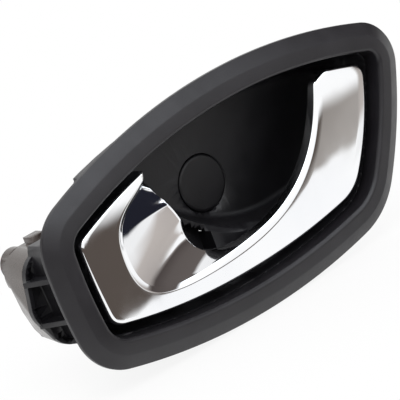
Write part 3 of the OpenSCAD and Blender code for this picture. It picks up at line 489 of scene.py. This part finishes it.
def make_lever():
    """The chrome lever: a loft round the finger opening, with fine sections and soft edges."""
    horn = np.array([HORN_X, top_z(HORN_X) - HORN_W])
    tip = np.array([TIP_X, top_z(TIP_X) - TIP_W])
    left = np.array(OPENING_LEFT)
    low = np.array(OPENING_BOTTOM)
    nose = SCOOP_NOSE
    # Each curve is its start, two handles and its end
    opening_curves = [
        [horn, horn + [-7.5, -5], left + [0, 13.1], left],
        [left, left + [0, -13.2], low + [-21.3, 0], low],
        [low, low + [32.9, 0], tip - [12.4, 27.8], tip],
    ]
    scoop_curves = [
        [horn + [1.1, -0.5], horn + [6.5, -12.4], nose + [-3.1, 10.8], nose],
        [nose, nose + [0.6, -2], nose + [-5.3, -14.0], low + [12.5, 4.1]],
    ]
    outer = reach_of([on_ray(ray, 0) for ray in outline_rays(LEVER_IN, LEVER_CORNERS)])
    opening = reach_of_curves(opening_curves)
    scoop_edge = reach_of_curves(scoop_curves)
    start = turn_of(horn)
    end = turn_of(tip)
    scoop_end = turn_of(scoop_curves[1][3])

    def section(a):
        """The ring at one turn, from the outer edge over the front, the lip and the wall to the back."""
        t = min(1.0, min(a - start, end - a) / TIP_TURN)
        size = END_SIZE + END_GROWTH * math.sqrt(max(0.0, t * (2 - t)))
        full = outer(a) - opening(a)
        width = full * size
        side = LEVER_SIDE * size
        sink = (1 - size) * END_SINK
        edge_r = min(LEVER_EDGE_R, width * EDGE_SHARE)
        back_wall = min(LEVER_WALL, width * WALL_SHARE)

        # The scoop's share is 1 in its middle and 0 past its ends, where only the lip is left
        share = ease((a - start) / SCOOP_START_TURN) * ease((scoop_end - a) / SCOOP_END_TURN)
        growth = LIP_GROWTH * ease((a - start) / LIP_TURN)
        shrink = LIP_SHRINK * ease((a - LIP_SHRINK_AT) / LIP_TURN)
        lip_w = LIP_W * (LIP_START + growth - shrink)
        rim_w = RIM_W * (1 + RIM_GROWTH * ease((RIM_GROWTH_END - a) / RIM_GROWTH_TURN))
        rim = opening(a) - lip_w - rim_w
        if a <= scoop_end:
            rim = min(rim, scoop_edge(a))
        run = opening(a) - lip_w - rim
        lip = width + lip_w * size
        drop = LIP_DEPTH + (SCOOP_DEPTH - LIP_DEPTH) * share - LIP_DROP
        power = 1 + SCOOP_CURVE * share
        thick = RIM_W + (LEVER_WALL - RIM_W) * share

        def on_wall(u, off=0.0):
            """A point of the wall from the lip to the rim, set back from its front by an offset."""
            slope = np.array([run, drop * power * (1 - u) ** (power - 1)])
            normal = np.array([-slope[1], slope[0]]) / np.linalg.norm(slope)
            return np.array([lip + run * u, LIP_DROP + drop * (1 - (1 - u) ** power)]) + off * normal

        front = arc((edge_r, edge_r + sink), edge_r, 180, 270, EDGE_STEPS)
        front += [(edge_r + (width - edge_r) * i / FRONT_STEPS, sink) for i in range(1, FRONT_STEPS)]
        front += bend((edge_r, sink), (width, sink), (lip, LIP_DROP), LIP_BEND)
        front += bend((width, sink), (lip, LIP_DROP), on_wall(WALL_BEND_TO), WALL_BEND)

        # Each point is its distance in from the outer edge, its depth and its share of the crown
        pts = [(0, side, 0.0)] + [(x, y, 1.0) for x, y in front]
        pts += [(*on_wall(i / WALL_STEPS), 1 - i / WALL_STEPS) for i in range(2, WALL_STEPS)]
        rim_front = on_wall(1.0)
        rim_back = on_wall(1.0, thick)
        across = (rim_back - rim_front) * RIM_ROUND
        inward = rim_front - on_wall(BEFORE_RIM)
        inward = inward / np.linalg.norm(inward) * RIM_ROUND * thick
        pts += [
            (*(rim_front - inward), RIM_CROWN),
            (*(rim_front + across * RIM_ROUND_MID - inward * RIM_ROUND_MID), 0.0),
            (*(rim_front + across), 0.0),
            (*(rim_back - across), 0.0),
            (*(rim_back - inward), RIM_CROWN),
        ]
        pts += [(*on_wall(i / WALL_STEPS, thick), 1 - i / WALL_STEPS) for i in range(WALL_STEPS - 1, -1, -2)]
        pts += [(width - back_wall, LEVER_PLATE, 0.0), (back_wall, LEVER_PLATE, 0.0), (back_wall, side, 0.0)]

        shift = full * (1 - size) / 2
        ray = unit(a + STRAIGHT_UP)
        edge_x = (LEVER_EYE + outer(a) * ray)[0]
        ring = []
        for d, y, crown in pts:
            run_on = HORN_RUN * ease(1 - (a - start) / HORN_TURN) * max(0.0, 1 - d / full)
            x, z = LEVER_EYE + (outer(a) - shift - d) * ray
            x = x + run_on
            z = z + top_z(edge_x + run_on) - top_z(edge_x)
            fall_off = max(0.0, 1 - ((z - CROWN_Z) / CROWN_REACH) ** 2)
            ring.append((x, y - crown * LEVER_CROWN * fall_off, z))
        return ring

    ends = [TIP_TURN * (1 - math.cos(math.radians(90 * i / END_STEPS))) for i in range(END_STEPS + 1)]
    middle = np.linspace(start + TIP_TURN, end - TIP_TURN, BODY_STEPS)[1:-1]
    turns = [start + e for e in ends] + list(middle) + [end - e for e in reversed(ends)]
    return loft("lever_shell", [section(a) for a in turns], False)


replace(make_bezel(), "bezel", "housing", bezel_mat)
replace(make_lever(), "lever", "lever", chrome_mat)

SMOOTHED = {
    "housing": ("housing", "bowl_plastic", bowl_mat),
    "screw_cap": ("housing", "cap_plastic", cap_mat),
    "fixing_sleeve": ("housing", "plated_steel", plated_mat),
    "lever_backing": ("lever", "inner_plastic", inner_mat),
    "lever_carrier": ("lever", "inner_plastic", inner_mat),
    "pivot_pin": ("lever", "plated_steel", plated_mat),
    "pin_clip": ("lever", "spring_steel", spring_mat),
    "bush_upper": ("housing", "bush_plastic", bush_mat),
    "bush_lower": ("housing", "bush_plastic", bush_mat),
    "return_spring": ("housing", "spring_steel", spring_mat),
    "buffer_near_end": ("housing", "buffer_rubber", rubber_mat),
    "buffer_far_end": ("housing", "buffer_rubber", rubber_mat),
    "rear_case": ("housing", "case_plastic", case_mat),
    "case_screw_upper": ("housing", "plated_steel", plated_mat),
    "case_screw_lower": ("housing", "plated_steel", plated_mat),
    "case_screw_inner": ("housing", "plated_steel", plated_mat),
    "trim_clip_end": ("housing", "spring_steel", spring_mat),
    "trim_clip_bottom": ("housing", "spring_steel", spring_mat),
}
for node_name, (body, slot, mat) in SMOOTHED.items():
    dress(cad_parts[node_name], mat)
    replace(smooth_copy(node_name, node_name + "_finish"), node_name, body, mat)


# Camera, with lengths in metres where no other unit is named
TILT = math.radians(35.8)  # between the view and the face's normal
TWIST = math.radians(24.9)  # turn of the long axis in the picture
FACE_CENTRE = Vector((-17.5, TRIM_Y, 2.2)) * MM
DISTANCE = 0.7
LENS = 208  # in mm
SENSOR_W = 36  # in mm
CLIP_START = 0.05

# Lamps: name, place in metres, size in metres and power in watts
LAMP_TARGET = Vector((-0.02, 0, 0))
LAMPS = [
    ("key", (-0.5, -0.7, 1.1), (0.9, 0.7), 9),
    ("fill", (1.0, -0.9, 0.5), (0.8, 0.8), 4),
    ("back", (0.2, 1.0, 0.9), (0.9, 0.6), 5),
]


def make_camera():
    """The photograph's view of the face, from in front and to one side."""
    long_axis = Vector((math.cos(TWIST), 0, -math.sin(TWIST)))
    back = -math.sin(TILT) * long_axis + math.cos(TILT) * Vector((0, -1, 0))
    up = Vector((math.sin(TWIST), 0, math.cos(TWIST)))
    right = up.cross(back).normalized()
    data = bpy.data.cameras.new("camera")
    data.lens = LENS
    data.sensor_width = SENSOR_W
    data.clip_start = CLIP_START
    camera = bpy.data.objects.new("camera", data)
    turned = Matrix((right, up, back)).transposed().to_4x4()
    camera.matrix_world = Matrix.Translation(FACE_CENTRE + DISTANCE * back) @ turned
    bpy.context.scene.collection.objects.link(camera)
    bpy.context.scene.camera = camera


def make_lamp(name, place, size, power):
    """A soft lamp that points at the part and that polished surfaces don't mirror."""
    data = bpy.data.lights.new(name, "AREA")
    data.shape = "RECTANGLE"
    data.size, data.size_y = size
    data.energy = power
    lamp = bpy.data.objects.new(name, data)
    lamp.location = Vector(place)
    lamp.rotation_euler = (LAMP_TARGET - Vector(place)).to_track_quat("-Z", "Y").to_euler()
    lamp.visible_glossy = False
    bpy.context.scene.collection.objects.link(lamp)


# Mirrored room: directions in it
ROOM_UP = (0.24, -0.24, 0.94)
ROOM_SIDE = (0.84, 0.535, -0.078)
TABLE_SIDE = (-0.801, -0.148, 0.58)
WINDOW_SIDE = (0.974, 0.401, 0.448)
BACKDROP = (0.0, 1.0, 0.0)

# Mirrored room: edges in it, each from where to where along its direction
SOFTBOX_EDGE = (0.5, 0.75)
NEAR_WALL_TOP = (0.19, 0.25)
NEAR_WALL_SHADE = (0.03, 0.11)
NEAR_WALL_FOOT = (-0.16, -0.13)
TABLE_EDGE = (-0.53, -0.515)
WINDOW_TOP = (0.3, 0.34)
WINDOW_EDGE = (0.615, 0.645)
DOORWAY_TOP = (-0.03, 0.02)
DOORWAY_FOOT = (-0.42, -0.38)
DOORWAY_NEAR = (0.46, 0.5)
DOORWAY_FAR = (0.68, 0.72)
FAR_HALF = (0.1, 0.16)
BACKDROP_EDGE = (0.15, 0.35)

# Mirrored room: colours and strengths
WHITE = (1.0, 1.0, 1.0)
SOFTBOX = (0.92, 0.96, 1.0)
NEAR_WALL_DARK = (0.105, 0.086, 0.075)
NEAR_WALL_LIT = (0.44, 0.41, 0.385)
DOORWAY = (0.016, 0.017, 0.026)
FAR_WALL = [
    (0.0, WHITE), (0.08, WHITE), (0.13, (0.56, 0.51, 0.48)), (0.28, (0.45, 0.41, 0.385)),
    (0.38, (0.085, 0.07, 0.066)), (0.6, (0.125, 0.107, 0.1)), (0.89, (0.14, 0.12, 0.112)), (0.92, WHITE),
]
MIRRORED_WHITE = 1.12
SOFTBOX_STRENGTH = 2.8
MATT_STRENGTH = 0.7


def make_world():
    """White to the camera, plain soft light to matt surfaces, and a room to polished ones."""
    world = bpy.data.worlds.new("studio")
    bpy.context.scene.world = world
    world.use_nodes = True
    nodes, links = world.node_tree.nodes, world.node_tree.links
    nodes.clear()
    coord = nodes.new("ShaderNodeTexCoord")
    path = nodes.new("ShaderNodeLightPath")

    def toward(direction):
        """How far a ray points along a direction in the room."""
        dot = nodes.new("ShaderNodeVectorMath")
        dot.operation = "DOT_PRODUCT"
        dot.inputs[1].default_value = direction
        links.new(coord.outputs["Generated"], dot.inputs[0])
        return dot.outputs["Value"]

    def light(color, strength=1.0):
        node = nodes.new("ShaderNodeBackground")
        node.inputs["Color"].default_value = (*color, 1)
        node.inputs["Strength"].default_value = strength
        return node.outputs["Background"]

    def mix(factor, first, second):
        node = nodes.new("ShaderNodeMixShader")
        links.new(factor, node.inputs["Fac"])
        links.new(first, node.inputs[1])
        links.new(second, node.inputs[2])
        return node.outputs["Shader"]

    def edge(value, span, before, after):
        """One light up to an edge in the room and another past it."""
        step = nodes.new("ShaderNodeMapRange")
        step.interpolation_type = "SMOOTHSTEP"
        step.inputs["From Min"].default_value = span[0]
        step.inputs["From Max"].default_value = span[1]
        links.new(value, step.inputs["Value"])
        return mix(step.outputs["Result"], before, after)

    def bands(value, stops):
        """A wall whose colour changes along a direction."""
        ramp = nodes.new("ShaderNodeValToRGB")
        while len(ramp.color_ramp.elements) < len(stops):
            ramp.color_ramp.elements.new(0.5)
        for element, (place, color) in zip(ramp.color_ramp.elements, stops):
            element.position = place
            element.color = (*color, 1)
        node = nodes.new("ShaderNodeBackground")
        links.new(value, ramp.inputs["Fac"])
        links.new(ramp.outputs["Color"], node.inputs["Color"])
        return node.outputs["Background"]

    up = toward(ROOM_UP)
    side = toward(ROOM_SIDE)
    table = toward(TABLE_SIDE)
    window = toward(WINDOW_SIDE)
    backdrop = toward(BACKDROP)
    white = light(WHITE, MIRRORED_WHITE)
    softbox = light(SOFTBOX, SOFTBOX_STRENGTH)

    # The near half: a wall with a shaded end, a soft box above it and a white table before it
    near = edge(side, NEAR_WALL_SHADE, light(NEAR_WALL_DARK), light(NEAR_WALL_LIT))
    near = edge(up, NEAR_WALL_TOP, near, edge(up, SOFTBOX_EDGE, white, softbox))
    near = edge(table, TABLE_EDGE, white, near)
    near = edge(up, NEAR_WALL_FOOT, white, near)

    # The far half: a banded wall with a window, a dark doorway below it and the white backdrop behind
    wall = bands(up, FAR_WALL)
    far = edge(up, WINDOW_TOP, edge(window, WINDOW_EDGE, wall, white), wall)
    doorway = edge(side, DOORWAY_FAR, light(DOORWAY), white)
    doorway = edge(side, DOORWAY_NEAR, white, doorway)
    doorway = edge(up, DOORWAY_FOOT, white, doorway)
    far = edge(up, DOORWAY_TOP, doorway, far)
    far = edge(backdrop, BACKDROP_EDGE, far, white)

    room = edge(side, FAR_HALF, near, far)
    seen = mix(path.outputs["Is Glossy Ray"], light(WHITE, MATT_STRENGTH), room)
    seen = mix(path.outputs["Is Camera Ray"], seen, light(WHITE))
    links.new(seen, nodes.new("ShaderNodeOutputWorld").inputs["Surface"])


# Floor, in metres
FLOOR_HALF = 2.0
FLOOR_GAP = 0.0002
FLOOR_COLOR = (0.85, 0.85, 0.85)
FLOOR_ROUGHNESS = 0.9
SHADOW_REACH = (0.06, 0.13)  # the shadow fades to plain white between these distances
SHADOW_FADE = 0.88  # the share of plain white under the part


def make_floor():
    """A pale floor that keeps the object's shadow and fades to plain white away from it."""
    z = cad_box[0][2] - FLOOR_GAP
    corners = [(-1, -1), (1, -1), (1, 1), (-1, 1)]
    mesh = bpy.data.meshes.new("floor")
    mesh.from_pydata([(x * FLOOR_HALF, y * FLOOR_HALF, z) for x, y in corners], [], [(0, 1, 2, 3)])
    floor = bpy.data.objects.new("floor", mesh)
    bpy.context.scene.collection.objects.link(floor)
    mat, bsdf = shader("floor_white", FLOOR_COLOR, FLOOR_ROUGHNESS)
    nodes, links = mat.node_tree.nodes, mat.node_tree.links
    glow = nodes.new("ShaderNodeEmission")
    glow.inputs["Strength"].default_value = 1.0
    coord = nodes.new("ShaderNodeTexCoord")
    length = nodes.new("ShaderNodeVectorMath")
    length.operation = "LENGTH"
    fade = nodes.new("ShaderNodeMapRange")
    fade.interpolation_type = "SMOOTHSTEP"
    fade.inputs["From Min"].default_value = SHADOW_REACH[0]
    fade.inputs["From Max"].default_value = SHADOW_REACH[1]
    fade.inputs["To Min"].default_value = SHADOW_FADE
    path = nodes.new("ShaderNodeLightPath")
    both = nodes.new("ShaderNodeMath")
    both.operation = "MULTIPLY"
    mix = nodes.new("ShaderNodeMixShader")
    links.new(coord.outputs["Object"], length.inputs[0])
    links.new(length.outputs["Value"], fade.inputs["Value"])
    links.new(fade.outputs["Result"], both.inputs[0])
    links.new(path.outputs["Is Camera Ray"], both.inputs[1])
    links.new(both.outputs["Value"], mix.inputs["Fac"])
    links.new(bsdf.outputs["BSDF"], mix.inputs[1])
    links.new(glow.outputs["Emission"], mix.inputs[2])
    links.new(mix.outputs["Shader"], nodes["Material Output"].inputs["Surface"])
    mesh.materials.append(mat)
    floor.visible_glossy = False


make_camera()
bpy.context.scene.view_settings.view_transform = "Standard"
for lamp_row in LAMPS:
    make_lamp(*lamp_row)
make_world()
make_floor()
